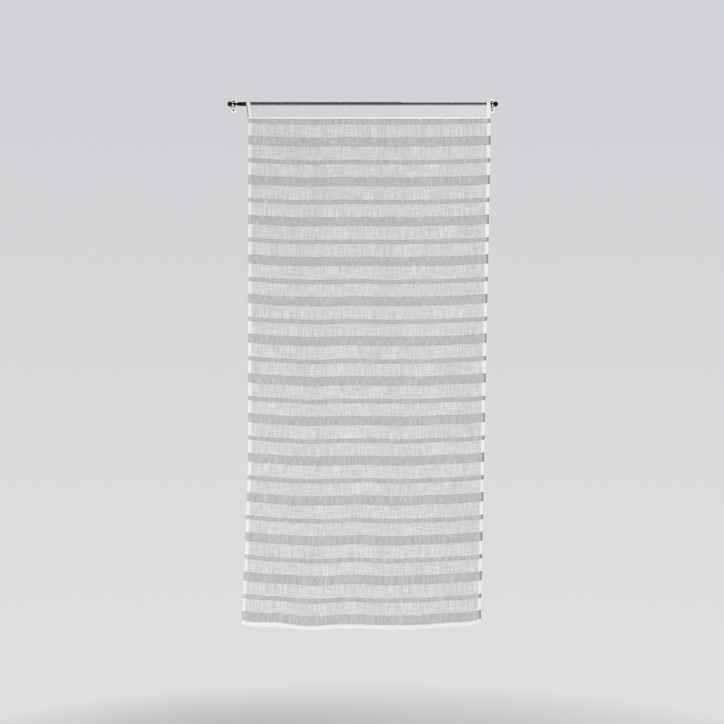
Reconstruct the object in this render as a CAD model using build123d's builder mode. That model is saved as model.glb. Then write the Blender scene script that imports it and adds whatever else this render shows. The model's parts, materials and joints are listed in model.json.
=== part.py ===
from build123d import *
import os
from math import cos, exp, pi

# Sheer striped window panel on a thin telescopic rod, hung in two small screwed hooks.
# Millimetres. X runs to the right, Y points back to the surface that the hooks are screwed to, Z is up.
# The origin is the middle of the four screws, on the plane where the hooks meet that surface.

os.makedirs("parts", exist_ok=True)

# Telescopic rod
inner_tube_diameter = 7.0
inner_tube_wall = 0.7
sliding_clearance = 0.08  # on the radius, between the two tubes
outer_tube_wall = 0.92
outer_tube_length = 375.0
tube_overlap = 120.0  # length of inner tube inside the outer one
rod_stand_off = 18.0  # rod axis in front of the hooks' backs
rod_rise = 2.3  # rod axis above the middle of the screws
tube_edge_break = 0.3

# Turned finials
ball_diameter = 12.0
neck_diameter = 4.6
neck_length = 2.8
bead_diameter = 8.4
bead_length = 4.4
waist_diameter = 7.0
waist_length = 5.2
spigot_length = 14.0
spigot_clearance = 0.05

# Hooks
neck_to_neck = 593.2  # the screw columns are as far apart
hook_plate_width = 12.0
hook_plate_height = 33.0
hook_plate_thickness = 2.6
hook_plate_corner = 5.0
arm_thickness = 2.4
arm_root_drop = 8.6  # below the rod axis
cradle_wall = 2.1
neck_clearance = 0.12
lip_drop = 1.0  # top of the cradle's front lip below the rod axis
plate_edge_round = 0.7
lip_edge_round = 0.5

# Countersunk screws
screw_spacing = 20.5
screw_thread_diameter = 2.5
screw_shank_diameter = 2.0  # the plain stretch through the plate
screw_head_diameter = 4.6
screw_head_dome = 0.3
screw_length_behind = 10.0
screw_point_length = 2.2
screw_hole_clearance = 0.15
head_seat_clearance = 0.05

# Cloth
cloth_thickness = 0.6
band_relief = 0.25  # the woven bands are this much thicker, on the front
hem_fold_thickness = 0.9  # turned-in cloth on the back of a hem
pocket_clearance = 0.3  # between the pocket and the thicker tube
seam_drop = 31.0  # sewn line of the rod pocket below the rod axis
seam_bead_radius = 1.0
left_edge = -262.3
right_edge = 292.0
corner_drop = 1192.0  # lower corners below the rod axis
left_hem_width = 8.5
right_hem_width = 7.0
lower_hem_height = 11.0

# How the panel hangs: soft upright folds, and a slant to the left lower down
fold_count = 3
fold_depth = 4.0  # half of the front-to-back travel of a full fold
fold_depth_at_seam = 0.3
fold_growth = 230.0  # drop over which the folds open out
points_per_fold = 6
left_top_slant = 3.4  # the pocket's open end reaches further left at the rod
left_drift = 14.9
left_drift_start = 800.0
left_drift_power = 1.3
right_drift = 22.6
right_drift_start = 80.0
sag_power = 4  # a cross line sags with a flat middle and curls up at the two sides

# Woven bands, in pairs of a narrow and a wide one, as many as fit above the lower hem. Drops
# are to a band's middle, at the sides.
band_pitch = 90.5
first_narrow_drop = 38.0
first_wide_drop = 82.5
narrow_band_height = 9.8
wide_band_height = 20.8
first_band_sag = 4.0
last_band_sag = 10.6
lower_edge_sag = 9.5

# Worked out from the sizes above
outer_bore = inner_tube_diameter + 2 * sliding_clearance
outer_tube_diameter = outer_bore + 2 * outer_tube_wall
inner_bore = inner_tube_diameter - 2 * inner_tube_wall
left_hook_x = -neck_to_neck / 2
right_hook_x = neck_to_neck / 2
neck_to_tube = neck_length / 2 + bead_length + waist_length
outer_tube_start = left_hook_x + neck_to_tube
outer_tube_end = outer_tube_start + outer_tube_length
inner_tube_start = outer_tube_end - tube_overlap
inner_tube_end = right_hook_x - neck_to_tube
rod_y = -rod_stand_off


def tube(start, end, diameter, bore):
    """A round tube along the rod axis, with broken edges."""
    with BuildPart() as piece:
        with BuildSketch(Plane.YZ.offset(start)):
            with Locations((rod_y, rod_rise)):
                Circle(diameter / 2)
                Circle(bore / 2, mode=Mode.SUBTRACT)
        extrude(amount=end - start)
        outer_rims = piece.edges().filter_by(GeomType.CIRCLE).group_by(SortBy.RADIUS)[-1]
        chamfer(outer_rims, tube_edge_break)
    return piece.part


with BuildPart() as rod_outer_tube:
    add(tube(outer_tube_start, outer_tube_end, outer_tube_diameter, outer_bore))

with BuildPart() as rod_inner_tube:
    add(tube(inner_tube_start, inner_tube_end, inner_tube_diameter, inner_bore))


def finial(hook_x, inward, tube_bore):
    """A ball, neck, bead and waist turned in one piece, with a spigot that plugs the tube.

    The profile starts at the middle of the neck and runs inward to the tube, to the right
    for +1 and to the left for -1.
    """
    ball_radius = ball_diameter / 2
    neck_radius = neck_diameter / 2
    ball_centre = -neck_length / 2 - (ball_radius**2 - neck_radius**2) ** 0.5
    bead_start = neck_length / 2
    bead_end = bead_start + bead_length
    bead_side = ((bead_diameter / 2) ** 2 - (bead_length / 2) ** 2) ** 0.5
    spigot_radius = tube_bore / 2 - spigot_clearance
    spigot_end = neck_to_tube + spigot_length
    waist_radius = waist_diameter / 2
    place = Plane(origin=(hook_x, rod_y, rod_rise), x_dir=(inward, 0, 0), z_dir=(0, -inward, 0))
    with BuildPart() as piece:
        with BuildSketch(place):
            with BuildLine():
                ThreePointArc(
                    (ball_centre - ball_radius, 0),
                    (ball_centre, ball_radius),
                    (-neck_length / 2, neck_radius),
                )
                Polyline(
                    (-neck_length / 2, neck_radius),
                    (bead_start, neck_radius),
                    (bead_start, bead_side),
                )
                ThreePointArc(
                    (bead_start, bead_side),
                    ((bead_start + bead_end) / 2, bead_diameter / 2),
                    (bead_end, bead_side),
                )
                Polyline(
                    (bead_end, bead_side),
                    (bead_end, neck_radius),
                    (neck_to_tube, waist_radius),
                    (neck_to_tube, spigot_radius),
                    (spigot_end, spigot_radius),
                    (spigot_end, 0),
                    (ball_centre - ball_radius, 0),
                )
            make_face()
        revolve(axis=Axis(place.origin, place.x_dir))
    return piece.part


with BuildPart() as left_finial:
    add(finial(left_hook_x, 1, outer_bore))

with BuildPart() as right_finial:
    add(finial(right_hook_x, -1, inner_bore))


def hook(hook_x):
    """A screwed plate with one arm that ends in an open cradle for the finial's neck."""
    plate_back = Plane(origin=(hook_x, 0, 0), x_dir=(1, 0, 0), z_dir=(0, -1, 0))
    slot_radius = neck_diameter / 2 + neck_clearance
    cradle_radius = slot_radius + cradle_wall
    head_radius = screw_head_diameter / 2
    with BuildPart() as piece:
        with BuildSketch(Plane.YZ.offset(hook_x - arm_thickness / 2)):
            with BuildLine():
                Line(
                    (-hook_plate_thickness / 2, rod_rise - arm_root_drop),
                    (-hook_plate_thickness / 2, rod_rise + cradle_radius),
                )
            with Locations((rod_y, rod_rise)):
                Circle(cradle_radius)
            make_hull()
            with Locations((rod_y, rod_rise)):
                Circle(slot_radius, mode=Mode.SUBTRACT)
                Rectangle(
                    2 * slot_radius,
                    2 * cradle_radius,
                    align=(Align.CENTER, Align.MIN),
                    mode=Mode.SUBTRACT,
                )
            with Locations((rod_y, rod_rise - lip_drop)):
                Rectangle(
                    2 * cradle_radius,
                    2 * cradle_radius,
                    align=(Align.MAX, Align.MIN),
                    mode=Mode.SUBTRACT,
                )
        extrude(amount=arm_thickness)
        fillet(piece.edges().filter_by(Axis.X).group_by(Axis.Y)[0], lip_edge_round)
        with BuildSketch(plate_back):
            RectangleRounded(hook_plate_width, hook_plate_height, hook_plate_corner)
        extrude(amount=hook_plate_thickness)
        plate_front = piece.faces().filter_by(Axis.Y).filter_by_position(
            Axis.Y, -hook_plate_thickness - 0.01, -hook_plate_thickness + 0.01
        )
        rim = plate_front.edges().filter_by_position(Axis.Z, cradle_radius + rod_rise, hook_plate_height)
        fillet(rim, plate_edge_round)
        with Locations(plate_back.offset(hook_plate_thickness)):
            with GridLocations(1, screw_spacing, 1, 2):
                CounterSinkHole(
                    screw_thread_diameter / 2 + screw_hole_clearance,
                    head_radius + head_seat_clearance,
                    counter_sink_angle=90,
                )
    return piece.part


with BuildPart() as left_bracket:
    add(hook(left_hook_x))

with BuildPart() as right_bracket:
    add(hook(right_hook_x))


def screw(hook_x, height):
    """A countersunk screw in the plate: head in front, plain shank through it, thread behind it."""
    head_radius = screw_head_diameter / 2
    shank_radius = screw_shank_diameter / 2
    thread_radius = screw_thread_diameter / 2
    cone_depth = head_radius - shank_radius
    face = Plane(origin=(hook_x, -hook_plate_thickness, height), x_dir=(0, 1, 0), z_dir=(1, 0, 0))
    tip = hook_plate_thickness + screw_length_behind
    with BuildPart() as piece:
        with BuildSketch(face):
            with BuildLine():
                Polyline(
                    (-screw_head_dome, 0),
                    (-screw_head_dome, head_radius - screw_head_dome),
                    (0, head_radius),
                    (cone_depth, shank_radius),
                    (hook_plate_thickness + shank_radius - thread_radius, shank_radius),
                    (hook_plate_thickness, thread_radius),
                    (tip - screw_point_length, thread_radius),
                    (tip, 0),
                    close=True,
                )
            make_face()
        revolve(axis=Axis(face.origin, face.x_dir))
    return piece.part


screws = {}
for side, hook_x in (("left", left_hook_x), ("right", right_hook_x)):
    for level, height in (("upper", screw_spacing / 2), ("lower", -screw_spacing / 2)):
        screws[f"{side}_{level}_screw"] = screw(hook_x, height)


# The cloth panel. Below its rod pocket it is a stack of rows, each a woven band or a gap between
# bands. The rows' surfaces are ruled between the curves that bound them and sewn into one solid.
cloth_top_drop = seam_drop + seam_bead_radius / 2
columns = fold_count * points_per_fold
ground_front = -cloth_thickness / 2
band_front = ground_front - band_relief
ground_back = cloth_thickness / 2
hem_back = ground_back + hem_fold_thickness


def side_to_side(share, drop):
    """X from the left edge (share 0) to the right edge (share 1) at one drop."""
    left_run = max(0.0, (drop - left_drift_start) / (corner_drop - left_drift_start))
    right_run = max(0.0, (drop - right_drift_start) / (corner_drop - right_drift_start))
    left = left_edge - left_drift * left_run**left_drift_power
    right = right_edge - right_drift * right_run
    return left + share * (right - left)


def cloth_point(share, drop, sag, offset):
    """A point of the hung cloth, offset backwards from its middle surface.

    A fold is a cosine across the panel, and deepens down it.
    """
    grown = 1 - exp(-(drop - cloth_top_drop) / fold_growth)
    depth = fold_depth_at_seam + (fold_depth - fold_depth_at_seam) * grown
    y = rod_y - depth * cos(2 * pi * fold_count * share) + offset
    lower = sag * (1 - abs(2 * share - 1) ** sag_power)
    return (side_to_side(share, drop), y, rod_rise - drop - lower)


band_room = corner_drop - lower_hem_height - first_wide_drop - wide_band_height / 2
band_pairs = 1 + int(band_room / band_pitch)

# Row edges from the seam to the lower edge, each with its drop at the sides and its sag
row_edges = [(cloth_top_drop, 0.0)]
band_rows = []
for pair in range(band_pairs):
    sag = first_band_sag + (last_band_sag - first_band_sag) * pair / (band_pairs - 1)
    for first_drop, height in (
        (first_narrow_drop, narrow_band_height),
        (first_wide_drop, wide_band_height),
    ):
        upper_drop = first_drop + pair * band_pitch - height / 2
        band_rows.append(len(row_edges))
        row_edges.append((upper_drop, sag))
        row_edges.append((upper_drop + height, sag))
hem_row = len(row_edges)
row_edges.append((corner_drop - lower_hem_height, lower_edge_sag))
row_edges.append((corner_drop, lower_edge_sag))
last_edge = hem_row + 1

shared_curves = {}
skin = []


def across(edge, offset, start, end):
    """The curve along a row edge between two shares, made once so that neighbours share it."""
    key = (edge, offset, start, end)
    if key not in shared_curves:
        drop, sag = row_edges[edge]
        steps = max(1, round(columns * (end - start)))
        shares = [start + (end - start) * step / steps for step in range(steps + 1)]
        points = [Vector(*cloth_point(share, drop, sag, offset)) for share in shares]
        curve = Edge.make_spline(points) if steps > 1 else Edge.make_line(*points)
        shared_curves[key] = curve
    return shared_curves[key]


def strip(first, second):
    """Adds the surface ruled between two curves to the skin."""
    skin.append(Face.make_surface_from_curves(first, second))


def upright(row, share, offsets):
    """Adds the flat strip of a row that runs front to back through the offsets."""
    upper = [cloth_point(share, *row_edges[row], offset) for offset in offsets]
    lower = [cloth_point(share, *row_edges[row + 1], offset) for offset in offsets]
    skin.append(Face(Wire.make_polygon([*upper, *lower[::-1]])))


left_hem_share = left_hem_width / (right_edge - left_edge)
right_hem_share = 1 - right_hem_width / (right_edge - left_edge)
zones = (
    (0.0, left_hem_share, hem_back),
    (left_hem_share, right_hem_share, ground_back),
    (right_hem_share, 1.0, hem_back),
)
offsets = (band_front, ground_front, ground_back, hem_back)

for row in range(hem_row + 1):
    front = band_front if row in band_rows else ground_front
    for start, end, zone_back in zones:
        back = hem_back if row == hem_row else zone_back
        strip(across(row, front, start, end), across(row + 1, front, start, end))
        strip(across(row, back, start, end), across(row + 1, back, start, end))
        if row in band_rows:
            for edge in (row, row + 1):
                strip(across(edge, front, start, end), across(edge, ground_front, start, end))
    for share in (0.0, 1.0):
        upright(row, share, offsets if row in band_rows else offsets[1:])
    if row != hem_row:
        for share in (left_hem_share, right_hem_share):
            upright(row, share, (ground_back, hem_back))

# The strips that close the stack at the seam and the lower edge, and the step above the lower hem
for start, end, zone_back in zones:
    for edge in (0, last_edge):
        strip(across(edge, ground_front, start, end), across(edge, ground_back, start, end))
    step_edge = 0 if zone_back == hem_back else hem_row
    for edge in (step_edge, last_edge):
        strip(across(edge, ground_back, start, end), across(edge, hem_back, start, end))

hanging_cloth = Solid(Shell(skin))

face_on = Plane(origin=(0, rod_y, rod_rise), x_dir=(1, 0, 0), z_dir=(0, -1, 0))
pocket_start = left_edge - left_top_slant
pocket_length = right_edge - pocket_start
pocket_radius = outer_tube_diameter / 2 + pocket_clearance

with BuildPart() as curtain_panel:
    for rod_radius, seam_radius, mode in (
        (pocket_radius + cloth_thickness, seam_bead_radius, Mode.ADD),
        (pocket_radius, seam_bead_radius - cloth_thickness, Mode.SUBTRACT),
    ):
        with BuildSketch(Plane.YZ.offset(pocket_start)):
            with Locations((rod_y, rod_rise)):
                Circle(rod_radius)
            with Locations((rod_y, rod_rise - seam_drop)):
                Circle(seam_radius)
            make_hull()
        extrude(amount=pocket_length, mode=mode)
    with BuildSketch(face_on):
        with BuildLine():
            Polyline(
                (pocket_start, 0),
                (left_edge, -seam_drop),
                (left_edge, -seam_drop - 2 * seam_bead_radius),
                (pocket_start, -seam_drop - 2 * seam_bead_radius),
                close=True,
            )
        make_face()
    extrude(amount=rod_stand_off, both=True, mode=Mode.SUBTRACT)
    add(hanging_cloth)


pieces = {
    "curtain_panel": curtain_panel.part,
    "rod_outer_tube": rod_outer_tube.part,
    "rod_inner_tube": rod_inner_tube.part,
    "left_finial": left_finial.part,
    "right_finial": right_finial.part,
    "left_bracket": left_bracket.part,
    "right_bracket": right_bracket.part,
    **screws,
}

for name, piece in pieces.items():
    piece.label = name
    export_step(piece, f"parts/{name}.step")
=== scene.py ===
import json
from math import pi, radians, tau

import bpy
import numpy as np
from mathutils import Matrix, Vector


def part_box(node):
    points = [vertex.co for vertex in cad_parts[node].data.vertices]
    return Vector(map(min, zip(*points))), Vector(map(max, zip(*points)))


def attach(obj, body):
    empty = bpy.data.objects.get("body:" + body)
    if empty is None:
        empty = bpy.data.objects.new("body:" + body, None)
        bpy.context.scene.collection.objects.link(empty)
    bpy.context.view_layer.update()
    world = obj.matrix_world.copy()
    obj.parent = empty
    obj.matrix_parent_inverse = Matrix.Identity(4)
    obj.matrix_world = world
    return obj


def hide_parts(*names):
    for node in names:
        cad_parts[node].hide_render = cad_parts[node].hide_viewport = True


bl_info = {
    "name": "Sheer striped window panel",
    "version": (1, 0, 0),
    "blender": (4, 5, 0),
    "location": "View3D > Sidebar > Sheer Panel",
    "description": "Dresses a sheer striped panel on a telescopic rod with its hooks and screws",
    "category": "Object",
}

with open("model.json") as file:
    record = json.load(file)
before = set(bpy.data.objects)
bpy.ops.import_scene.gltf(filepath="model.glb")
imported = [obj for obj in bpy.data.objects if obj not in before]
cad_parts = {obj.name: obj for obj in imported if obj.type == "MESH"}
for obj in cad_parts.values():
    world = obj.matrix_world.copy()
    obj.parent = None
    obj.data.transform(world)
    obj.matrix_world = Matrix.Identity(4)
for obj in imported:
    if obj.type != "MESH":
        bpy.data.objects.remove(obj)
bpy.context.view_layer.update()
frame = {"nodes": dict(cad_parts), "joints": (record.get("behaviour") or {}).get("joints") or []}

# Places that come from the frame, in metres. X runs to the right, Y backwards, Z up.
tube_low, tube_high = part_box("rod_outer_tube")
thin_low, thin_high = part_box("rod_inner_tube")
cloth_low, cloth_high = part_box("curtain_panel")
rod_y = (tube_low.y + tube_high.y) / 2
rod_z = (tube_low.z + tube_high.z) / 2
thick_radius = (tube_high.z - tube_low.z) / 2
thin_radius = (thin_high.z - thin_low.z) / 2
tube_step_x = tube_high.x
screw_nodes = sorted(name for name in frame["nodes"] if name.endswith("_screw"))
joint_travel = {joint["name"]: joint["range_m"] for joint in frame["joints"]}
panel_travel = -min(joint_travel["panel_slide"])

# How the sewn cloth lies, in metres unless it says otherwise
raw_edge_tuck = 0.0012  # from a side hem's outer edge to the tucked raw edge
layer_offset = 0.0003  # keeps the columns of two layers of a side hem apart
hem_step = 0.0004  # half of the step from a hem's last column to the cloth's first
squeezed = 0.35  # share of a side hem's thickness where the pocket pulls it flat
seam_ridge = 0.0006  # how far the seam stands out
seam_ridge_reach = 0.0016
row_ease = 0.0003  # half of the step at a band's edge and at the lower hem's
hem_fold_depth = 0.0007  # from the front layer of the lower hem to its last
hem_over_hem_depth = 0.0012  # added where it is folded over a side hem
curl_across = 0.035  # the lower right corner's curl fades over this much across, as a share
curl_upward = 0.05  # and over this much upwards
sway_depth = 0.0006
stitch_clearance = 0.0003  # from the cloth's highest ripple to a stitch

# The stage
metres_per_pixel = 0.002286
image_pixels = 724
photo_centre_row = 362
photo_shift = 0.0017  # the photo's middle column lies this much left of the part's
rod_row = 104
camera_distance = 4.0
sensor_width = 0.036
floor_rings, floor_sides = 12, 64
key_place, key_size, key_power = (1.5, -2.4, 0.5), 1.6, 62
low_place, low_size, low_power = (-0.7, -1.5, -1.05), 0.9, 12
rear_place, rear_size, rear_power = (0.6, 2.4, 0.6), 1.8, 22
ambient_colour, ambient_strength = (0.95, 0.97, 1.0, 1), 0.32
direction_low, direction_high = -0.16, 0.14  # upward parts of a view direction at the cloth's ends


def length(name, default, description):
    """A size in metres for a property group."""
    return bpy.props.FloatProperty(
        name=name, default=default, description=description, subtype="DISTANCE", unit="LENGTH", precision=5
    )


def colour(name, default, description):
    """A linear colour for a property group."""
    return bpy.props.FloatVectorProperty(
        name=name, default=default, description=description, subtype="COLOR", size=3, min=0, max=1
    )


def share(name, default, description):
    """A number from 0 to 1 for a property group."""
    return bpy.props.FloatProperty(
        name=name, default=default, description=description, subtype="FACTOR", min=0, max=1
    )


class ClothSizes(bpy.types.PropertyGroup):
    """How the cloth is cut, sewn and hung. Drops are below the rod axis."""

    flat_width: length("Flat width", 0.60, "Cloth width before hemming and gathering")
    flat_length: length("Flat length", 1.27, "Cloth length before the pocket and hem are turned")
    left_edge: length("Left edge", -0.2623, "Left edge below the seam")
    right_edge: length("Right edge", 0.292, "Right edge below the seam")
    seam_drop: length("Seam drop", 0.031, "Sewn line of the rod pocket")
    corner_drop: length("Corner drop", 1.192, "Lower corners of the cloth")
    left_top_slant: length("Left slant", 0.0034, "The pocket's open end reaches further left at the rod")
    left_drift: length("Left drift", 0.0149, "The left edge swings out by this much lower down")
    left_drift_start: length("Left drift start", 0.8, "Drop where the left edge starts to swing out")
    right_drift: length("Right drift", 0.0226, "The right edge slants in by this much")
    right_drift_start: length("Right drift start", 0.08, "Drop where the right edge starts to slant")
    pocket_slack: length("Pocket slack", 0.00045, "From a tube to the middle of the cloth round it")
    side_hem: length("Side hem", 0.0085, "Width of the turned side hems")
    lower_hem: length("Lower hem", 0.011, "Height of the turned lower hem")
    hem_layers: length("Hem thickness", 0.0009, "From the front layer to the last layer of a side hem")
    # Width of the right hem's outer strip where the band ends get painted shade
    right_hem_shade_width: length("Edge mark", 0.0046, "Width of the dark band ends on the right hem")
    # Width of the painted shade line at the pocket's open end
    mouth_shade_width: length("Mouth width", 0.0016, "Width of the dark line at the pocket's open end")
    fold_depth: length("Fold depth", 0.004, "Half of the front-to-back travel of a full fold")
    fold_depth_at_seam: length("Fold depth at the seam", 0.0003, "The same just below the seam")
    fold_growth: length("Fold growth", 0.23, "Drop over which the folds open out")
    gather_depth: length("Gather depth", 0.0007, "Small ripples that fade out below the seam")
    gather_fade: length("Gather fade", 0.16, "Drop over which the small ripples fade")
    lower_sag: length("Lower sag", 0.0095, "The lower edge hangs deeper between its corners")
    corner_curl: length("Corner curl", 0.0045, "The lower right corner curls up")
    column_step: length("Column step", 0.005, "Mesh step across the cloth")
    row_step: length("Row step", 0.0048, "Mesh step down the cloth")


class BandSizes(bpy.types.PropertyGroup):
    """The woven bands, in pairs of a narrow and a wide one."""

    pairs: bpy.props.IntProperty(name="Pairs", default=13, description="Pairs of bands", min=1)
    pitch: length("Pitch", 0.0905, "From one pair to the next")
    first_narrow: length("First narrow band", 0.038, "Drop of its middle")
    first_wide: length("First wide band", 0.0825, "Drop of its middle")
    narrow_height: length("Narrow height", 0.0098, "Height of a narrow band")
    wide_height: length("Wide height", 0.0208, "Height of a wide band")
    relief: length("Relief", 0.00025, "How far a band stands proud of the ground weave")
    first_sag: length("First sag", 0.004, "Sag of the first pair between the sides")
    last_sag: length("Last sag", 0.0106, "Sag of the last pair between the sides")


class ClothLook(bpy.types.PropertyGroup):
    """Colours and openness of the cloth."""

    ground_dark: colour("Ground, dark", (0.42, 0.42, 0.427), "Thin places of the ground weave")
    ground_light: colour("Ground, light", (0.69, 0.69, 0.70), "Slubs of the ground weave")
    band_dark: colour("Band, dark", (0.287, 0.269, 0.245), "Thin places of the bands")
    band_light: colour("Band, light", (0.51, 0.483, 0.446), "Slubs of the bands")
    hem_white: colour("Hem", (0.80, 0.80, 0.80), "Cloth lying several layers thick")
    header_grey: colour("Header", (0.665, 0.667, 0.69), "Double cloth of the rod pocket")
    yarn_white: colour("Thick yarn", (0.82, 0.82, 0.81), "Single thick yarns that stand out")
    # Painted shade: this colour darkens the band ends in the right hem's outer strip, darkest near the band
    # rims
    right_hem_painted_shade: colour("Edge shade", (0.16, 0.152, 0.145), "Band yarns bunched in the right hem")
    # Painted shade: this colour darkens a thin line inside the pocket's open end
    pocket_mouth_painted_shade: colour("Pocket mouth", (0.05, 0.05, 0.055), "The dark inside of the pocket's open end")
    ground_cover: share("Ground cover", 0.69, "Share of the ground that yarn covers")
    band_cover: share("Band cover", 0.70, "Share of a band that yarn covers")
    hem_cover: share("Hem cover", 0.95, "Share of a hem that yarn covers")
    header_cover: share("Header cover", 0.93, "Share of the header that yarn covers")
    stretched_cover: share("Stretched cover", 0.05, "Share that yarn covers where it pulls over the rod")
    yarn_pitch: length("Yarn pitch", 0.0011, "From one yarn to the next")


class StitchSizes(bpy.types.PropertyGroup):
    """The rows of machine stitches."""

    pitch: length("Pitch", 0.0042, "From one stitch to the next")
    stitch: length("Stitch length", 0.0031, "Length of the thread that shows")
    thread_radius: length("Thread radius", 0.00022, "Half of the thread's thickness")
    from_hem_fold: length("From hem fold", 0.0012, "From the inner edge of a hem to its stitches")
    thread_white: colour("Thread", (0.82, 0.82, 0.81), "Sewing thread")


class HardwareLook(bpy.types.PropertyGroup):
    """Finishes of the rod, the hooks and the screws."""

    rod_black: colour("Rod", (0.004, 0.004, 0.0045), "Satin black enamel")
    rod_worn: colour("Rod, rubbed", (0.028, 0.028, 0.03), "Where the enamel is rubbed")
    hook_white: colour("Hooks", (0.84, 0.84, 0.84), "White moulded plastic")
    hook_shade: colour("Hooks, shaded", (0.70, 0.70, 0.69), "Dust in the hollows")
    screw_steel: colour("Screws", (0.05, 0.05, 0.055), "Burnished steel")


class ScrewSizes(bpy.types.PropertyGroup):
    """The details of the four screws, whose outer sizes come from the frame."""

    dome: length("Dome", 0.0003, "How far the head stands out in the middle")
    shank_radius: length("Shank radius", 0.001, "Half of the plain stretch's thickness")
    thread_radius: length("Thread radius", 0.00125, "Half of the thread's thickness")
    thread_depth: length("Thread depth", 0.0003, "How deep the thread is cut")
    thread_pitch: length("Thread pitch", 0.0011, "From one thread to the next")
    point: length("Point", 0.0022, "Length of the pointed end")
    recess_depth: length("Recess depth", 0.0009, "Depth of the cross recess")
    recess_width: length("Recess width", 0.00065, "Width of each arm of the cross")
    recess_arm: length("Recess arm", 0.0014, "From the middle to the end of an arm")


class StageLook(bpy.types.PropertyGroup):
    """The floor, the light and what stands behind."""

    backdrop_high: colour("Backdrop, high", (0.64, 0.65, 0.67), "What shows behind the object's top")
    backdrop_low: colour("Backdrop, low", (0.73, 0.735, 0.74), "What shows behind its lower end")
    floor: colour("Floor", (0.66, 0.665, 0.67), "Pale floor")
    floor_drop: length("Floor drop", 0.35, "From the lower edge of the cloth to the floor")
    floor_radius: length("Floor radius", 1.25, "Size of the round floor")


CLASSES_OF_SETTINGS = {
    "cloth_sizes": ClothSizes,
    "band_sizes": BandSizes,
    "cloth_look": ClothLook,
    "stitch_sizes": StitchSizes,
    "hardware_look": HardwareLook,
    "screw_sizes": ScrewSizes,
    "stage_look": StageLook,
}


# Meshes


def mesh_object(name, points, faces, uv=None, attributes=None):
    """An object from an array of points and an array of faces, smooth, with an optional UV and
    point attributes, each one value for each point."""
    mesh = bpy.data.meshes.new(name)
    mesh.from_pydata(points.tolist(), [], faces.tolist() if hasattr(faces, "tolist") else faces)
    mesh.shade_smooth()
    if uv is not None:
        corners = np.empty(len(mesh.loops), dtype=np.int32)
        mesh.loops.foreach_get("vertex_index", corners)
        layer = mesh.uv_layers.new(name="cloth_uv")
        layer.data.foreach_set("uv", uv[corners].astype(np.float32).ravel())
    for key, values in (attributes or {}).items():
        layer = mesh.attributes.new(key, "FLOAT", "POINT")
        layer.data.foreach_set("value", values.astype(np.float32))
    obj = bpy.data.objects.new(name, mesh)
    bpy.context.scene.collection.objects.link(obj)
    return obj


def grid_faces(rows, columns, closed=False):
    """Quads of a grid of rows times columns, numbered row by row. A closed grid joins its last
    column to its first."""
    across = columns if closed else columns - 1
    row, column = np.meshgrid(np.arange(rows - 1), np.arange(across), indexing="ij")
    a = row * columns + column
    b = row * columns + (column + 1) % columns
    return np.stack([a, a + columns, b + columns, b], axis=-1).reshape(-1, 4)


def smooth_step(value, low, high):
    """0 below low, 1 above high, and a smooth cubic between them."""
    t = np.clip((value - low) / (high - low), 0, 1)
    return t * t * (3 - 2 * t)


# Shape of the cloth


def side_x(across, drop, sizes):
    """X of the cloth at a share across (0 left, 1 right) and a drop.

    The left edge swings out by a power of the drop below its start, the right edge slants in
    along a straight line, and the pocket's left end leans out towards the rod.
    """
    run = np.clip((drop - sizes.left_drift_start) / (sizes.corner_drop - sizes.left_drift_start), 0, 1.1)
    slant = np.clip((drop - sizes.right_drift_start) / (sizes.corner_drop - sizes.right_drift_start), 0, 1.1)
    lean = np.clip(1 - drop / sizes.seam_drop, 0, 1)
    left = sizes.left_edge - sizes.left_drift * run**1.3 - sizes.left_top_slant * lean
    right = sizes.right_edge - sizes.right_drift * slant
    return left + across * (right - left)


def sag(across, drop, sizes, bands):
    """How much lower the cloth hangs at a share across than at its sides.

    The sag grows evenly from the first band to the last and is flat in the middle: one minus
    the fourth power of the distance from the middle. The cloth hangs a little lower left of the
    middle and a little higher in it, slow waves make it uneven, and near the lower left corner
    it is held up.
    """
    last_drop = bands.first_wide + (bands.pairs - 1) * bands.pitch
    depth = np.interp(
        drop,
        [sizes.seam_drop, bands.first_narrow, last_drop, sizes.corner_drop],
        [0, bands.first_sag, bands.last_sag, sizes.lower_sag],
    )
    across = np.clip(across, 0, 1)
    flat = 1 - np.abs(2 * across - 1) ** 4
    waves = 0.10 * np.sin(tau * (1.9 * across + 0.1)) + 0.05 * np.sin(tau * (4.3 * across + 1.7 * drop))
    lower_left = 0.30 * np.exp(-(((across - 0.28) / 0.09) ** 2))
    higher_middle = 0.10 * np.exp(-(((across - 0.48) / 0.08) ** 2))
    held_up = 0.38 * np.exp(-(((across - 0.12) / 0.08) ** 2)) * smooth_step(drop, 1.05, 1.19)
    return depth * flat * (1 + waves + lower_left - higher_middle - held_up)


def corner_lift(across, above_edge, sizes):
    """How far the lower right corner curls up: it falls off as an exponential of the distance from
    the right edge and of the height above the lower edge."""
    return sizes.corner_curl * np.exp(-(1 - across) / curl_across) * np.exp(-above_edge / curl_upward)


def fold_y(across, drop, sizes):
    """Front-to-back place of the hanging cloth.

    Three folds are a cosine across that deepens down the cloth. Small gathers, a sum of sines
    of uneven pitch, start at the seam and fade out.
    """
    below = np.clip(drop - sizes.seam_drop, 0, None)
    grown = 1 - np.exp(-below / sizes.fold_growth)
    depth = sizes.fold_depth_at_seam + (sizes.fold_depth - sizes.fold_depth_at_seam) * grown
    folds = -depth * np.cos(tau * 3 * across)
    ripple = (
        np.sin(tau * (11.3 * across + 0.2))
        + 0.7 * np.sin(tau * (17.9 * across + 0.6 + 0.5 * drop))
        + 0.5 * np.sin(tau * (27.1 * across + 0.1 - 0.8 * drop))
    )
    start = smooth_step(below, 0, 0.012)
    fade = 0.25 + 0.75 * np.exp(-below / sizes.gather_fade)
    sway = sway_depth * np.sin(tau * (1.3 * across + 2.1 * drop)) * grown
    return rod_y + folds + sizes.gather_depth * ripple * start * fade + sway


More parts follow.
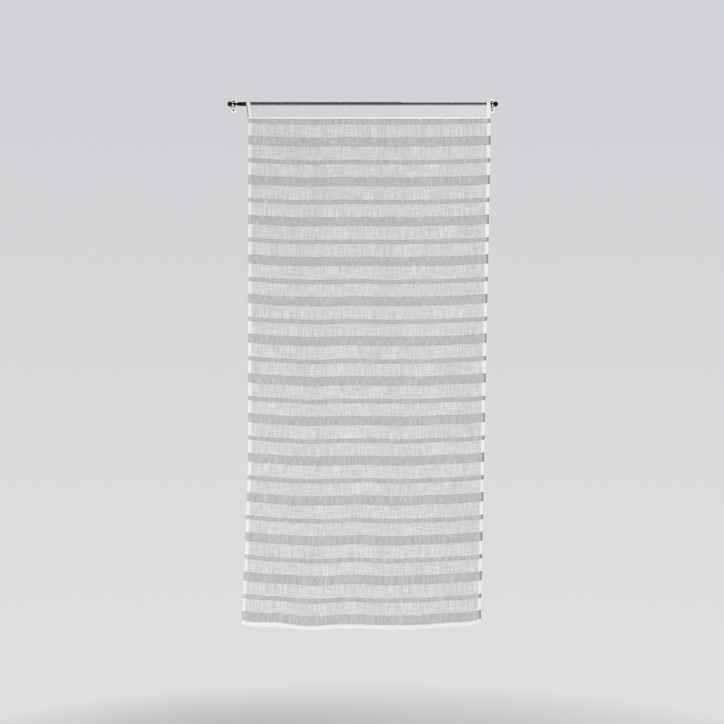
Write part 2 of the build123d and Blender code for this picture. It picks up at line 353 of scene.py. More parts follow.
def tube_radius_under(x):
    """Radius of the rod under the pocket: the thick tube, then the thin one past its end. The
    change lies as far to the right as the cloth can slide, and is eased over 30 mm."""
    change = smooth_step(x, tube_step_x + panel_travel + 0.002, tube_step_x + panel_travel + 0.032)
    return thick_radius + (thin_radius - thick_radius) * change


def turned_edge(width, layers, flat_step=0.0014, arc_steps=5):
    """A hem turned twice, as (distance in from the edge, distance back) arrays.

    It runs from the tucked raw edge out to the fold, in a small half circle round the tucked
    edge, out along the last layer and round the outer edge to the front layer.
    """
    big = layers / 2
    small = layers / 4
    tucked = np.arange(raw_edge_tuck, width - small, flat_step)
    turn = np.linspace(-pi / 2, pi / 2, arc_steps)
    edge = np.linspace(pi / 2, 3 * pi / 2, arc_steps + 2)
    flat = np.full(len(tucked), layers)
    inward = np.concatenate(
        [tucked, width - small + small * np.cos(turn), tucked[::-1] + layer_offset, big + big * np.cos(edge)]
    )
    back = np.concatenate([flat / 2, layers - small + small * np.sin(turn), flat, big + big * np.sin(edge)])
    return inward, back


def cloth_columns(sizes):
    """The columns of the cloth as arrays (share across, shift in metres, distance back, hem)."""
    inward, back = turned_edge(sizes.side_hem, sizes.hem_layers)
    width = sizes.right_edge - sizes.left_edge
    near = sizes.side_hem / width
    step = hem_step / width
    front_hem = np.linspace(sizes.hem_layers / width, near - step, 5)
    middle = np.linspace(near + step, 1 - near - step, round(width / sizes.column_step))
    front = np.concatenate([front_hem, middle, 1 - front_hem[::-1]])
    ones = np.ones_like(inward)
    shares = np.concatenate([0 * ones, front, ones])
    shifts = np.concatenate([inward, 0 * front, -inward[::-1]])
    backs = np.concatenate([back, 0 * front, back[::-1]])
    is_hem = np.concatenate([ones, (front < near) | (front > 1 - near), ones])
    return shares, shifts, backs, is_hem


def band_edges(bands):
    """Drops of the upper and lower edges of all bands, two columns, in order."""
    pair = np.arange(bands.pairs)[:, None] * bands.pitch
    middles = np.hstack([bands.first_narrow + pair, bands.first_wide + pair]).ravel()
    heights = np.tile([bands.narrow_height, bands.wide_height], bands.pairs)
    return np.stack([middles - heights / 2, middles + heights / 2], axis=1)


def body_drops(sizes, bands):
    """Drops of the cloth's rows from the seam to the lower edge: even steps, with two close
    rows at each band's edge."""
    edges = band_edges(bands)
    hem_line = sizes.corner_drop - sizes.lower_hem
    single = [sizes.seam_drop, hem_line - row_ease, hem_line + row_ease, sizes.corner_drop]
    marks = np.unique(np.concatenate([single, (edges + row_ease).ravel(), (edges - row_ease).ravel()]))
    marks = marks[(marks >= sizes.seam_drop) & (marks <= sizes.corner_drop)]
    runs = [
        np.linspace(low, high, max(1, round((high - low) / sizes.row_step)), endpoint=False)
        for low, high in zip(marks[:-1], marks[1:])
    ]
    return np.concatenate([*runs, [sizes.corner_drop]])


def pocket_rows(x, sizes, line_steps=7, arc_steps=22):
    """The pocket's section at each X, as (height, depth, distance to the seam) arrays, row by row.

    It starts at the seam, runs up behind the rod in a straight line that touches a circle round
    the tube, goes over the top on that circle and comes down in front in the same way, to a row
    short of the seam. The distance is the length of cloth from there down the front.
    """
    radius = tube_radius_under(x) + sizes.pocket_slack
    drop = sizes.seam_drop
    lift = np.arcsin(radius / drop)
    heights, depths, paths = [], [], []
    line = np.sqrt(drop**2 - radius**2)
    for t in np.linspace(0, 1, line_steps, endpoint=False):
        heights.append(-drop + t * (drop - radius * np.sin(lift)))
        depths.append(t * radius * np.cos(lift))
        paths.append(t * line)
    arc = pi + 2 * lift
    for t in np.linspace(0, 1, arc_steps):
        angle = -lift + t * arc
        heights.append(radius * np.sin(angle))
        depths.append(radius * np.cos(angle))
        paths.append(line + t * arc * radius)
    for t in np.linspace(1, 0, line_steps, endpoint=False)[1:]:
        heights.append(-drop + t * (drop - radius * np.sin(lift)))
        depths.append(-t * radius * np.cos(lift))
        paths.append(line + arc * radius + (1 - t) * line)
    return np.array(heights), np.array(depths), 2 * line + arc * radius - np.array(paths)


def cloth_grid(sizes, bands):
    """Points, UV and attributes of the whole cloth, as one continuous sheet.

    Across, it runs from the tucked edge of the left hem round the left edge, over the front and
    round the right edge. Down, it runs up behind the rod, over it, down the front and round the
    lower edge into the lower hem.
    """
    shares, shifts, backs, is_hem = cloth_columns(sizes)
    columns = len(shares)

    # The pocket
    x_at_rod = side_x(shares, np.zeros(columns), sizes) + shifts
    heights, depths, to_seam = pocket_rows(x_at_rod, sizes)
    pocket_drop = np.clip(-heights, 0, None)
    x = side_x(shares, pocket_drop, sizes) + shifts
    radial = np.hypot(heights, depths) + 1e-9
    inward_y, inward_z = -depths / radial, -heights / radial
    tight = smooth_step(-heights, sizes.seam_drop * 0.45, sizes.seam_drop)
    y = rod_y + depths + backs * (inward_y * (1 - tight) + tight) * squeezed
    z = rod_z + heights + backs * inward_z * (1 - tight) * squeezed
    pocket = np.stack([x, y, z], axis=-1)
    pocket_uv = np.stack([x, sizes.seam_drop - to_seam], axis=-1)
    over_rod = smooth_step(heights, -0.0026, -0.0014) * (1 - is_hem)
    header = 1 - over_rod

    # The hanging cloth
    drops = body_drops(sizes, bands)[:, None]
    x = side_x(shares, drops, sizes) + shifts
    hem_ease = smooth_step(drops, sizes.seam_drop, sizes.seam_drop + 0.004)
    edges = band_edges(bands)
    in_band = ((drops[:, :, None] > edges[:, 0]) & (drops[:, :, None] < edges[:, 1])).any(axis=-1)
    ridge = seam_ridge * np.exp(-(((drops - sizes.seam_drop) / seam_ridge_reach) ** 2))
    y = fold_y(shares, drops, sizes) + backs * (squeezed + (1 - squeezed) * hem_ease)
    y = y - bands.relief * in_band - ridge
    curl = corner_lift(shares, sizes.corner_drop - drops, sizes)
    z = rod_z - drops - sag(shares, drops, sizes, bands) + curl
    body = np.stack(np.broadcast_arrays(x, y, z), axis=-1)
    body_uv = np.stack(np.broadcast_arrays(x, drops), axis=-1)

    # The lower hem, turned up behind the front layer and over the side hems
    over_side_hem = 1 - smooth_step(np.minimum(shares, 1 - shares), 0.015, 0.05)
    thickness = hem_fold_depth + hem_over_hem_depth * over_side_hem
    rise, lean = hem_turn(sizes.lower_hem)
    hem_drops = sizes.corner_drop - rise[:, None]
    base_y = fold_y(shares, hem_drops, sizes)
    y = base_y + backs * (1 - 2 * lean[:, None]) + lean[:, None] * thickness
    z = rod_z - hem_drops - sag(shares, np.full_like(hem_drops, sizes.corner_drop), sizes, bands)
    z = z + corner_lift(shares, rise[:, None], sizes)
    x = side_x(shares, hem_drops, sizes) + shifts
    hem = np.stack(np.broadcast_arrays(x, y, z), axis=-1)
    path = sizes.corner_drop + np.cumsum(np.r_[0.0002, np.abs(np.diff(rise)) + 0.0001])
    hem_uv = np.stack(np.broadcast_arrays(x, path[:, None]), axis=-1)

    # Attributes: 1 where several layers lie, in the double header, over the rod, in the right hem's outer
    # part, which gets painted shade on the band ends, and in the pocket's open end, which gets a painted
    # shade line
    width = sizes.right_edge - sizes.left_edge
    from_left = shares * width + shifts
    from_right = (1 - shares) * width - shifts
    # Mask of the right hem's outer strip, where the band ends get painted shade
    right_hem_shade_mask = 1 - smooth_step(from_right, sizes.right_hem_shade_width - 0.0008, sizes.right_hem_shade_width + 0.0006)
    # Mask of the painted shade line along the left edge of the pocket's open end
    mouth = 1 - smooth_step(from_left, sizes.mouth_shade_width - 0.0006, sizes.mouth_shade_width + 0.0006)
    mouth = mouth * smooth_step(-heights, 0.002, 0.004) * (1 - smooth_step(-heights, 0.027, 0.030))
    hem_line = sizes.corner_drop - sizes.lower_hem
    lower = smooth_step(drops, hem_line - row_ease, hem_line + row_ease)
    in_pocket = np.broadcast_to(is_hem, heights.shape)
    layered = np.concatenate([in_pocket, np.maximum(is_hem, lower), np.ones((len(rise), columns))])
    below = np.zeros((len(drops) + len(rise), columns))
    points = np.concatenate([pocket, body, hem])
    uv = np.concatenate([pocket_uv, body_uv, hem_uv])
    attributes = {
        "layered": layered,
        "header": np.concatenate([header, below]),
        "over_rod": np.concatenate([over_rod, below]),
        "right_hem_shade_mask": np.broadcast_to(right_hem_shade_mask, layered.shape),
        "mouth": np.concatenate([mouth, below]),
    }
    return points, uv, attributes


def hem_turn(height):
    """The turned lower hem as (rise above the lower edge, lean) arrays. Lean is 0 at the front
    layer, 1 at the last layer, and between them for the tucked raw edge."""
    angle = np.linspace(0, pi, 6)[1:]
    round_edge = 0.0002 - 0.0005 * np.sin(angle)
    up = np.linspace(0.0008, height, 5)
    inner = np.array([height + 0.0002])
    down = np.linspace(height - 0.0002, 0.0015, 5)
    rise = np.concatenate([round_edge, up, inner, down])
    lean = np.concatenate([(1 - np.cos(angle)) / 2, np.ones(len(up)), [0.85], np.full(len(down), 0.62)])
    return rise, lean


# Materials


def build(tree, kind, inputs=None, **settings):
    """Adds a shader node. A socket given as an input is linked, and anything else is set."""
    made = tree.nodes.new(kind)
    for key, value in settings.items():
        setattr(made, key, value)
    for key, value in (inputs or {}).items():
        if isinstance(value, bpy.types.NodeSocket):
            tree.links.new(value, made.inputs[key])
        else:
            made.inputs[key].default_value = value
    return made


def maths(tree, operation, first, second=0.0, clamp=False):
    """One Math node, as its output socket."""
    made = build(tree, "ShaderNodeMath", {0: first, 1: second}, operation=operation, use_clamp=clamp)
    return made.outputs[0]


def mixed(tree, factor, first, second):
    """A colour mix, as its output socket."""
    made = build(tree, "ShaderNodeMix", data_type="RGBA")
    for index, value in ((0, factor), (6, first), (7, second)):
        if isinstance(value, bpy.types.NodeSocket):
            tree.links.new(value, made.inputs[index])
        else:
            made.inputs[index].default_value = value if index == 0 else (*value, 1)
    return made.outputs[2]


def blended(tree, factor, first, second):
    """first + factor * (second - first), for numbers."""
    made = build(tree, "ShaderNodeMix", data_type="FLOAT")
    for index, value in ((0, factor), (2, first), (3, second)):
        if isinstance(value, bpy.types.NodeSocket):
            tree.links.new(value, made.inputs[index])
        else:
            made.inputs[index].default_value = value
    return made.outputs[0]


def remap(tree, value, low, high, to_low=0.0, to_high=1.0):
    """A clamped linear map of a number."""
    return build(tree, "ShaderNodeMapRange", {0: value, 1: low, 2: high, 3: to_low, 4: to_high}).outputs[0]


def noise(tree, vector, scale, detail=2.0, roughness=0.55):
    """Noise of a vector whose axes are each scaled by its own number."""
    place = build(tree, "ShaderNodeVectorMath", {0: vector, 1: scale}, operation="MULTIPLY").outputs[0]
    return build(
        tree, "ShaderNodeTexNoise", {"Vector": place, "Scale": 1.0, "Detail": detail, "Roughness": roughness}
    ).outputs[0]


def new_material(name):
    """An empty node material with a Principled shader, as (material, tree, shader)."""
    material = bpy.data.materials.new(name)
    material.use_nodes = True
    tree = material.node_tree
    shader = tree.nodes["Principled BSDF"]
    return material, tree, shader


def attribute(tree, name):
    """A point attribute of the piece, as a number."""
    return build(tree, "ShaderNodeAttribute", attribute_name=name).outputs["Fac"]


def band_mask(tree, drop, bands, kind):
    """1 inside the narrow or the wide bands and 0 between them, with edges 0.5 mm soft, and the
    distance to the nearer edge of a band."""
    first = bands.first_narrow if kind == "narrow" else bands.first_wide
    height = bands.narrow_height if kind == "narrow" else bands.wide_height
    soft = 0.0005
    from_first = maths(tree, "SUBTRACT", drop, first - height / 2)
    inside = maths(tree, "FLOORED_MODULO", from_first, bands.pitch)
    to_edge = maths(tree, "MINIMUM", inside, maths(tree, "SUBTRACT", height, inside))
    mask = remap(tree, to_edge, -soft / 2, soft / 2)
    return mask, to_edge


def sheer_cloth_material(look, bands, sizes):
    """Sheer linen-like cloth with slubbed yarn, woven bands and layers that look denser, with painted shade
    on the band ends in the right hem and in the pocket's open end.
    """
    material, tree, shader = new_material("sheer_cloth")
    uv = build(tree, "ShaderNodeUVMap", uv_map="cloth_uv").outputs[0]
    parts = build(tree, "ShaderNodeSeparateXYZ", {0: uv})
    across, drop = parts.outputs[0], parts.outputs[1]

    upright = noise(tree, uv, (420, 26, 1), 3.0, 0.6)
    level = noise(tree, uv, (22, 460, 1), 3.0, 0.6)
    cloudy = noise(tree, uv, (16, 9, 1), 2.0)
    slub = maths(tree, "ADD", maths(tree, "MULTIPLY", upright, 0.58), maths(tree, "MULTIPLY", level, 0.42))
    slub = remap(tree, slub, 0.40, 0.62)
    cloud = remap(tree, cloudy, 0.3, 0.7, -0.10, 0.10)
    slub = maths(tree, "ADD", slub, cloud, clamp=True)

    wobble = remap(tree, noise(tree, uv, (260, 3, 1), 1.0), 0.3, 0.7, -0.0004, 0.0004)
    wavy_drop = maths(tree, "ADD", drop, wobble)
    narrow, narrow_edge = band_mask(tree, wavy_drop, bands, "narrow")
    wide, wide_edge = band_mask(tree, wavy_drop, bands, "wide")
    below_seam = remap(tree, drop, sizes.seam_drop + 0.0015, sizes.seam_drop + 0.002)
    last_edge = bands.first_wide + (bands.pairs - 1) * bands.pitch + bands.wide_height
    above_hem = remap(tree, drop, last_edge, last_edge + 0.001, 1.0, 0.0)
    in_bands = maths(tree, "MULTIPLY", below_seam, above_hem)
    band = maths(tree, "MULTIPLY", maths(tree, "MAXIMUM", narrow, wide), in_bands)

    edge = maths(tree, "MAXIMUM", narrow_edge, wide_edge)
    dashes = remap(tree, noise(tree, uv, (90, 30, 1), 2.0), 0.42, 0.60)
    rim = maths(tree, "MULTIPLY", remap(tree, edge, 0.0004, 0.0022, 1.0, 0.0), dashes)
    specks = remap(tree, noise(tree, uv, (330, 420, 1), 1.0), 0.70, 0.76)
    streaks = remap(tree, noise(tree, uv, (340, 45, 1), 3.0, 0.7), 0.34, 0.68)
    band_slub = maths(tree, "SUBTRACT", streaks, maths(tree, "MULTIPLY", rim, 0.9), clamp=True)
    band_slub = maths(tree, "SUBTRACT", band_slub, maths(tree, "MULTIPLY", specks, 0.9), clamp=True)

    ground = mixed(tree, slub, look.ground_dark, look.ground_light)
    bands_colour = mixed(tree, band_slub, look.band_dark, look.band_light)
    woven = mixed(tree, band, ground, bands_colour)
    thick_warp = remap(tree, noise(tree, uv, (480, 42, 1), 1.0), 0.66, 0.74)
    thick_weft = remap(tree, noise(tree, uv, (46, 480, 1), 1.0), 0.67, 0.74)
    thick_weft = maths(tree, "MULTIPLY", thick_weft, maths(tree, "SUBTRACT", 1.0, band))
    thick_yarn = maths(tree, "MULTIPLY", maths(tree, "MAXIMUM", thick_warp, thick_weft), 0.7)
    woven = mixed(tree, thick_yarn, woven, look.yarn_white)
    seam_line = maths(tree, "ABSOLUTE", maths(tree, "SUBTRACT", drop, sizes.seam_drop))
    seam_line = remap(tree, seam_line, 0.0016, 0.0020, 1.0, 0.0)
    layered = maths(tree, "MAXIMUM", attribute(tree, "layered"), seam_line)
    header = attribute(tree, "header")
    over_rod = attribute(tree, "over_rod")
    woven = mixed(tree, maths(tree, "MULTIPLY", header, 0.85), woven, look.header_grey)
    show_white = maths(tree, "MULTIPLY", layered, remap(tree, band, 0.0, 1.0, 0.92, 0.30))
    woven = mixed(tree, show_white, woven, look.hem_white)
    # Painted shade on the band ends in the right hem's outer strip, darkest near the band rims
    near_rim = remap(tree, edge, 0.0008, 0.0035, 0.95, 0.65)
    marks = maths(tree, "MULTIPLY", maths(tree, "MULTIPLY", attribute(tree, "right_hem_shade_mask"), band), near_rim)
    woven = mixed(tree, marks, woven, look.right_hem_painted_shade)
    # Painted shade: a dark line inside the pocket's open end
    woven = mixed(tree, maths(tree, "MULTIPLY", attribute(tree, "mouth"), 0.9), woven, look.pocket_mouth_painted_shade)
    tree.links.new(woven, shader.inputs["Base Color"])

    cover = remap(tree, slub, 0.0, 1.0, look.ground_cover - 0.08, look.ground_cover + 0.07)
    cover = blended(tree, band, cover, look.band_cover)
    cover = blended(tree, header, cover, look.header_cover)
    stretched = remap(tree, upright, 0.42, 0.72, look.stretched_cover - 0.06, look.stretched_cover + 0.35)
    cover = blended(tree, over_rod, cover, stretched)
    cover = blended(tree, layered, cover, look.hem_cover)
    tree.links.new(cover, shader.inputs["Alpha"])

    turn = tau / look.yarn_pitch
    warp = maths(tree, "SINE", maths(tree, "MULTIPLY", across, turn))
    weft = maths(tree, "SINE", maths(tree, "MULTIPLY", drop, turn))
    weave = maths(tree, "MULTIPLY", warp, weft)
    height = maths(tree, "ADD", maths(tree, "MULTIPLY", weave, 0.25), slub)
    bump = build(tree, "ShaderNodeBump", {"Strength": 0.35, "Distance": 0.00025, "Height": height})
    tree.links.new(bump.outputs[0], shader.inputs["Normal"])
    shader.inputs["Roughness"].default_value = 0.9
    shader.inputs["Specular IOR Level"].default_value = 0.15
    shader.inputs["Sheen Weight"].default_value = 0.12
    shader.inputs["Sheen Roughness"].default_value = 0.5
    return material


def enamel_material(look):
    """Satin black enamel with faint orange peel and a few rubbed places."""
    material, tree, shader = new_material("satin_black_enamel")
    place = build(tree, "ShaderNodeTexCoord").outputs["Object"]
    rubbed = remap(tree, noise(tree, place, (55, 380, 380), 4.0, 0.7), 0.60, 0.78)
    tone = mixed(tree, rubbed, look.rod_black, look.rod_worn)
    tree.links.new(tone, shader.inputs["Base Color"])
    rough = remap(tree, noise(tree, place, (240, 240, 240), 3.0), 0.3, 0.7, 0.26, 0.42)
    tree.links.new(rough, shader.inputs["Roughness"])
    peel = noise(tree, place, (1500, 1500, 1500), 2.0)
    bump = build(tree, "ShaderNodeBump", {"Strength": 0.15, "Distance": 0.00005, "Height": peel})
    tree.links.new(bump.outputs[0], shader.inputs["Normal"])
    shader.inputs["Specular IOR Level"].default_value = 0.10
    shader.inputs["Coat Weight"].default_value = 0.02
    shader.inputs["Coat Roughness"].default_value = 0.2
    return material


def moulded_material(look):
    """White moulded plastic with a fine spark-eroded grain and a little dust."""
    material, tree, shader = new_material("white_moulded_plastic")
    place = build(tree, "ShaderNodeTexCoord").outputs["Object"]
    dust = remap(tree, noise(tree, place, (180, 180, 180), 4.0, 0.65), 0.52, 0.72, 0.0, 0.6)
    tone = mixed(tree, dust, look.hook_white, look.hook_shade)
    tree.links.new(tone, shader.inputs["Base Color"])
    rough = remap(tree, noise(tree, place, (400, 400, 400), 2.0), 0.3, 0.7, 0.38, 0.55)
    tree.links.new(rough, shader.inputs["Roughness"])
    grain = noise(tree, place, (3200, 3200, 3200), 2.0)
    bump = build(tree, "ShaderNodeBump", {"Strength": 0.2, "Distance": 0.00004, "Height": grain})
    tree.links.new(bump.outputs[0], shader.inputs["Normal"])
    return material


def burnished_material(look):
    """Dark burnished steel with turned marks."""
    material, tree, shader = new_material("burnished_steel")
    place = build(tree, "ShaderNodeTexCoord").outputs["Object"]
    marks = noise(tree, place, (900, 5200, 900), 3.0, 0.6)
    bright = tuple(2.2 * c for c in look.screw_steel)
    tone = mixed(tree, remap(tree, marks, 0.35, 0.7), look.screw_steel, bright)
    tree.links.new(tone, shader.inputs["Base Color"])
    tree.links.new(remap(tree, marks, 0.3, 0.7, 0.30, 0.48), shader.inputs["Roughness"])
    shader.inputs["Metallic"].default_value = 0.85
    return material


def thread_material(look):
    """White spun sewing thread, with a fine twist in its bump."""
    material, tree, shader = new_material("sewing_thread")
    place = build(tree, "ShaderNodeTexCoord").outputs["Object"]
    fibre = noise(tree, place, (3000, 3000, 3000), 2.0)
    tone = mixed(tree, fibre, tuple(0.85 * c for c in look.thread_white), look.thread_white)
    tree.links.new(tone, shader.inputs["Base Color"])
    bump = build(tree, "ShaderNodeBump", {"Strength": 0.4, "Distance": 0.00008, "Height": fibre})
    tree.links.new(bump.outputs[0], shader.inputs["Normal"])
    shader.inputs["Roughness"].default_value = 0.7
    return material


def dress(obj, material):
    """Gives an object one material."""
    obj.data.materials.clear()
    obj.data.materials.append(material)


# Operators


class SHEER_OT_hang_panel(bpy.types.Operator):
    """Hang the sheer cloth from the rod, with its pocket, hems and woven bands"""

    bl_idname = "sheer.hang_panel"
    bl_label = "Hang the cloth"

    def execute(self, context):
        scene = context.scene
        sizes, bands, look = scene.cloth_sizes, scene.band_sizes, scene.cloth_look
        points, uv, attributes = cloth_grid(sizes, bands)
        rows, columns = points.shape[:2]
        cloth = mesh_object(
            "striped_sheer_cloth",
            points.reshape(-1, 3),
            grid_faces(rows, columns),
            uv.reshape(-1, 2),
            {key: values.ravel() for key, values in attributes.items()},
        )
        dress(cloth, sheer_cloth_material(look, bands, sizes))
        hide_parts("curtain_panel")
        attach(cloth, "panel")
        return {"FINISHED"}


def stitch_rows(sizes, bands, stitches):
    """Middles and directions of all stitches: along the seam, the side hems and the lower hem.

    A stitch lies on the front of the cloth, along the row that it belongs to.
    """
    width = sizes.right_edge - sizes.left_edge
    hem_share = (sizes.side_hem - stitches.from_hem_fold) / width

    def on_cloth(across, drop):
        in_front = sizes.hem_layers * 0.15 + stitches.thread_radius
        x = side_x(across, drop, sizes)
        y = fold_y(across, drop, sizes) - in_front - stitch_clearance
        z = rod_z - drop - sag(across, drop, sizes, bands)
        return np.stack([x, y, z + corner_lift(across, sizes.corner_drop - drop, sizes)], axis=-1)

    starts, ends = [], []
    half = stitches.stitch / 2
    for drop in (sizes.seam_drop + 0.0004, sizes.corner_drop - sizes.lower_hem + stitches.from_hem_fold):
        across = np.arange(0.004 / width, 1 - 0.004 / width, stitches.pitch / width)
        starts.append(on_cloth(across - half / width, np.full_like(across, drop)))
        ends.append(on_cloth(across + half / width, np.full_like(across, drop)))
    for across in (hem_share, 1 - hem_share):
        drop = np.arange(sizes.seam_drop + 0.004, sizes.corner_drop - 0.004, stitches.pitch)
        starts.append(on_cloth(np.full_like(drop, across), drop - half))
        ends.append(on_cloth(np.full_like(drop, across), drop + half))
    return np.concatenate(starts), np.concatenate(ends)


class SHEER_OT_sew_stitches(bpy.types.Operator):
    """Sew the rows of stitches that hold the pocket and the hems"""

    bl_idname = "sheer.sew_stitches"
    bl_label = "Sew the stitches"

    def execute(self, context):
        scene = context.scene
        sizes, bands, stitches = scene.cloth_sizes, scene.band_sizes, scene.stitch_sizes
        starts, ends = stitch_rows(sizes, bands, stitches)
        along = ends - starts
        along /= np.linalg.norm(along, axis=1, keepdims=True)
        front = np.array([0.0, -1.0, 0.0])
        side = np.cross(along, front)
        side /= np.linalg.norm(side, axis=1, keepdims=True)
        # A stitch is a five-sided spindle: four rings along it that rise from the cloth and dip back
        stations = np.array([0.0, 0.2, 0.8, 1.0])
        swell = np.array([0.25, 1.0, 1.0, 0.25])
        sides = 5
        angle = np.arange(sides) * tau / sides
        centre = starts[:, None] + (ends - starts)[:, None] * stations[None, :, None]
        centre = centre + front * (stitches.thread_radius * (swell - 1.0))[None, :, None]
        ring = (
            np.cos(angle)[None, None, :, None] * side[:, None, None, :]
            + np.sin(angle)[None, None, :, None] * front
        )
        points = centre[:, :, None] + ring * (stitches.thread_radius * swell)[None, :, None, None]
        count = len(starts)
        block = points.shape[1] * sides
        tube = grid_faces(len(stations), sides, closed=True)
        shift = (np.arange(count) * block)[:, None, None]
        quads = (tube[None] + shift).reshape(-1, 4).tolist()
        first = (np.arange(sides)[None, :] + shift[:, :, 0]).tolist()
        last = (np.arange(block - sides, block)[::-1][None, :] + shift[:, :, 0]).tolist()
        threads = mesh_object("hem_stitches", points.reshape(-1, 3), quads + first + last)
        dress(threads, thread_material(stitches))
        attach(threads, "panel")
        return {"FINISHED"}


class SHEER_OT_finish_rod(bpy.types.Operator):
    """Give the two tubes and the turned finials their satin black enamel"""

    bl_idname = "sheer.finish_rod"
    bl_label = "Finish the rod"

    def execute(self, context):
        enamel = enamel_material(context.scene.hardware_look)
        for name in ("rod_outer_tube", "rod_inner_tube", "left_finial", "right_finial"):
            dress(frame["nodes"][name], enamel)
        return {"FINISHED"}


class SHEER_OT_finish_hooks(bpy.types.Operator):
    """Give the two hooks their white moulded plastic"""

    bl_idname = "sheer.finish_hooks"
    bl_label = "Finish the hooks"

    def execute(self, context):
        plastic = moulded_material(context.scene.hardware_look)
        for name in ("left_bracket", "right_bracket"):
            dress(frame["nodes"][name], plastic)
        return {"FINISHED"}


def screw_points(node, turned, sizes, segments=48, rings=24):
    """Rings of points of one screw, from the middle of its head to its tip, along Y.

    The head is a shallow dome with a cross recess turned by an angle. Its cone runs down to the
    plain shank, and behind the plate the thread winds round the core to a point.
    """
    low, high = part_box(node)
    head_radius = (high.x - low.x) / 2
    rim_y = low.y + sizes.dome
    angle = np.arange(segments) * tau / segments

    # The head's front
    radius = np.linspace(0.00002, head_radius, rings)[:, None]
    along = np.abs(radius * np.cos(angle - turned))
    aside = np.abs(radius * np.sin(angle - turned))
    soft = 0.00012

    def arm(a, b):
        inside = 1 - smooth_step(b, sizes.recess_width / 2 - soft, sizes.recess_width / 2 + soft)
        reach = 1 - smooth_step(a, sizes.recess_arm - soft, sizes.recess_arm + soft)
        return inside * reach * (1 - 0.45 * a / sizes.recess_arm)

    recess = sizes.recess_depth * np.maximum(arm(along, aside), arm(aside, along))
    front_y = low.y + sizes.dome * (radius / head_radius) ** 2 + recess
    radii, depths = [radius + 0 * angle], [front_y + 0 * angle]

    # The cone and the plain shank, then the thread from the plate's back to the tip
    cone_end = rim_y + head_radius - sizes.shank_radius
    for place, size in ((cone_end, sizes.shank_radius), (-0.0003, sizes.shank_radius)):
        radii.append(np.full((1, segments), size))
        depths.append(np.full((1, segments), place))
    y = np.arange(0, high.y - 0.0001, sizes.thread_pitch / 6)[:, None]
    outer = np.minimum(sizes.thread_radius, sizes.thread_radius * (high.y - y) / sizes.point)
    turn = np.mod(y / sizes.thread_pitch - angle / tau, 1)
    ridge = np.clip(1.6 - 4 * np.abs(turn - 0.5), 0, 1)
    core = np.maximum(outer - sizes.thread_depth, 0.35 * outer)
    radii.append(core + (outer - core) * ridge)
    depths.append(y + 0 * angle)
    radii.append(np.full((1, segments), 0.00001))
    depths.append(np.full((1, segments), high.y))

    radius, y = np.concatenate(radii), np.concatenate(depths)
    x = (low.x + high.x) / 2 + radius * np.cos(angle)
    z = (low.z + high.z) / 2 + radius * np.sin(angle)
    return np.stack([x, y, z], axis=-1)


class SHEER_OT_finish_screws(bpy.types.Operator):
    """Model the cross recesses and threads of the four screws, in burnished steel"""

    bl_idname = "sheer.finish_screws"
    bl_label = "Finish the screws"

    def execute(self, context):
        scene = context.scene
        steel = burnished_material(scene.hardware_look)
        for index, name in enumerate(screw_nodes):
            points = screw_points(name, radians(24 + 31 * index), scene.screw_sizes)
            rows, segments = points.shape[:2]
            head_middle = list(range(segments))
            tip = list(range((rows - 1) * segments, rows * segments))[::-1]
            faces = grid_faces(rows, segments, closed=True).tolist() + [head_middle, tip]
            piece = mesh_object(name + "_detailed", points.reshape(-1, 3), faces)
            piece.data.set_sharp_from_angle(angle=radians(40))
            dress(piece, steel)
            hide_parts(name)
            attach(piece, "fixed_end" if name.startswith("left") else "sliding_end")
        return {"FINISHED"}


def area_light(name, place, target, size, power):
    """A square soft light at a place, turned to a target."""
    lamp = bpy.data.lights.new(name, "AREA")
    lamp.shape = "SQUARE"
    lamp.size = size
    lamp.energy = power
    obj = bpy.data.objects.new(name, lamp)
    bpy.context.scene.collection.objects.link(obj)
    obj.location = place
    obj.rotation_euler = (Vector(target) - Vector(place)).to_track_quat("-Z", "Y").to_euler()
    return obj


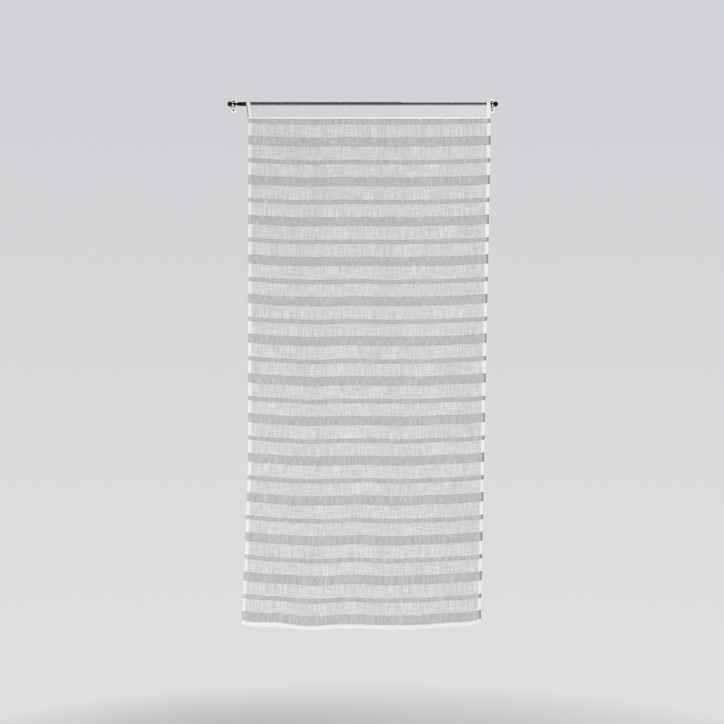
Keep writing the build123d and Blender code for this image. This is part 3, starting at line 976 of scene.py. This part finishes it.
class SHEER_OT_set_stage(bpy.types.Operator):
    """Set the floor, the lights, the backdrop and the camera"""

    bl_idname = "sheer.set_stage"
    bl_label = "Set the stage"

    def execute(self, context):
        scene = context.scene
        look = scene.stage_look
        scene.view_settings.view_transform = "Standard"
        middle = Vector((0, rod_y, rod_z - (photo_centre_row - rod_row) * metres_per_pixel))

        # A round floor that fades out towards its rim
        floor_z = cloth_low.z - look.floor_drop
        turns = np.arange(floor_sides) * tau / floor_sides
        rings = np.linspace(0.02, 1, floor_rings) * look.floor_radius
        radius, turn = np.meshgrid(rings, turns, indexing="ij")
        points = np.stack([radius * np.cos(turn), radius * np.sin(turn), 0 * radius + floor_z], axis=-1)
        faces = grid_faces(floor_rings, floor_sides, closed=True).tolist() + [list(range(floor_sides))]
        floor = mesh_object("pale_floor", points.reshape(-1, 3), faces)
        material, tree, shader = new_material("pale_floor")
        place = build(tree, "ShaderNodeTexCoord").outputs["Object"]
        level = build(tree, "ShaderNodeVectorMath", {0: place, 1: (1, 1, 0)}, operation="MULTIPLY").outputs[0]
        reach = build(tree, "ShaderNodeVectorMath", {0: level}, operation="LENGTH").outputs[1]
        fade = remap(tree, reach, look.floor_radius * 0.45, look.floor_radius * 0.98)
        shader.inputs["Base Color"].default_value = (*look.floor, 1)
        shader.inputs["Roughness"].default_value = 0.8
        clear = build(tree, "ShaderNodeBsdfTransparent")
        blend = build(tree, "ShaderNodeMixShader", {0: fade})
        tree.links.new(shader.outputs[0], blend.inputs[1])
        tree.links.new(clear.outputs[0], blend.inputs[2])
        tree.links.new(blend.outputs[0], tree.nodes["Material Output"].inputs[0])
        dress(floor, material)

        # Soft light from the upper right, weak ones from the lower left and from behind
        low_middle = Vector((0, rod_y, cloth_low.z + 0.05))
        area_light("key_light", key_place, middle, key_size, key_power)
        area_light("low_light", low_place, low_middle, low_size, low_power)
        area_light("rear_light", rear_place, middle, rear_size, rear_power)

        # A pale surround that shows brighter than it lights, the same beside the cloth and through it
        world = bpy.data.worlds.new("pale_surround")
        scene.world = world
        world.use_nodes = True
        tree = world.node_tree
        tree.nodes.clear()
        path = build(tree, "ShaderNodeLightPath")
        seen = maths(tree, "MAXIMUM", path.outputs["Is Camera Ray"], path.outputs["Is Transmission Ray"])
        seen = maths(tree, "MAXIMUM", seen, path.outputs["Is Glossy Ray"])
        ambient = build(tree, "ShaderNodeBackground", {"Color": ambient_colour, "Strength": ambient_strength})
        direction = build(tree, "ShaderNodeTexCoord").outputs["Generated"]
        upward = build(tree, "ShaderNodeSeparateXYZ", {0: direction}).outputs[2]
        height = remap(tree, upward, direction_low, direction_high)
        behind = mixed(tree, height, look.backdrop_low, look.backdrop_high)
        shown = build(tree, "ShaderNodeBackground", {"Color": behind, "Strength": 1.0})
        both = build(tree, "ShaderNodeMixShader", {0: seen})
        tree.links.new(ambient.outputs[0], both.inputs[1])
        tree.links.new(shown.outputs[0], both.inputs[2])
        output = build(tree, "ShaderNodeOutputWorld")
        tree.links.new(both.outputs[0], output.inputs[0])

        camera_data = bpy.data.cameras.new("front_camera")
        camera_data.sensor_width = sensor_width * 1000
        camera_data.lens = camera_data.sensor_width * camera_distance / (image_pixels * metres_per_pixel)
        camera = bpy.data.objects.new("front_camera", camera_data)
        scene.collection.objects.link(camera)
        camera.location = middle + Vector((-photo_shift, -camera_distance, 0))
        camera.rotation_euler = (radians(90), 0, 0)
        scene.camera = camera
        return {"FINISHED"}


class SHEER_PT_panel(bpy.types.Panel):
    """Lists the steps that dress the panel"""

    bl_idname = "SHEER_PT_panel"
    bl_label = "Sheer panel"
    bl_space_type = "VIEW_3D"
    bl_region_type = "UI"
    bl_category = "Sheer Panel"

    def draw(self, context):
        for step in STEPS:
            self.layout.operator(step.bl_idname)
        for key in CLASSES_OF_SETTINGS:
            box = self.layout.box()
            box.label(text=key.replace("_", " ").capitalize())
            settings = getattr(context.scene, key)
            for name in settings.bl_rna.properties.keys():
                if name not in ("rna_type", "name"):
                    box.prop(settings, name)


STEPS = (
    SHEER_OT_hang_panel,
    SHEER_OT_sew_stitches,
    SHEER_OT_finish_rod,
    SHEER_OT_finish_hooks,
    SHEER_OT_finish_screws,
    SHEER_OT_set_stage,
)


def register():
    """Registers the settings, the operators and the sidebar panel."""
    for key, kind in CLASSES_OF_SETTINGS.items():
        bpy.utils.register_class(kind)
        setattr(bpy.types.Scene, key, bpy.props.PointerProperty(type=kind))
    for kind in (*STEPS, SHEER_PT_panel):
        bpy.utils.register_class(kind)


def unregister():
    """Removes what register added."""
    for kind in (SHEER_PT_panel, *reversed(STEPS)):
        bpy.utils.unregister_class(kind)
    for key, kind in reversed(CLASSES_OF_SETTINGS.items()):
        delattr(bpy.types.Scene, key)
        bpy.utils.unregister_class(kind)


def main():
    """Makes every piece in order."""
    register()
    for step in STEPS:
        group, name = step.bl_idname.split(".")
        getattr(getattr(bpy.ops, group), name)()


if __name__ == "__main__":
    main()
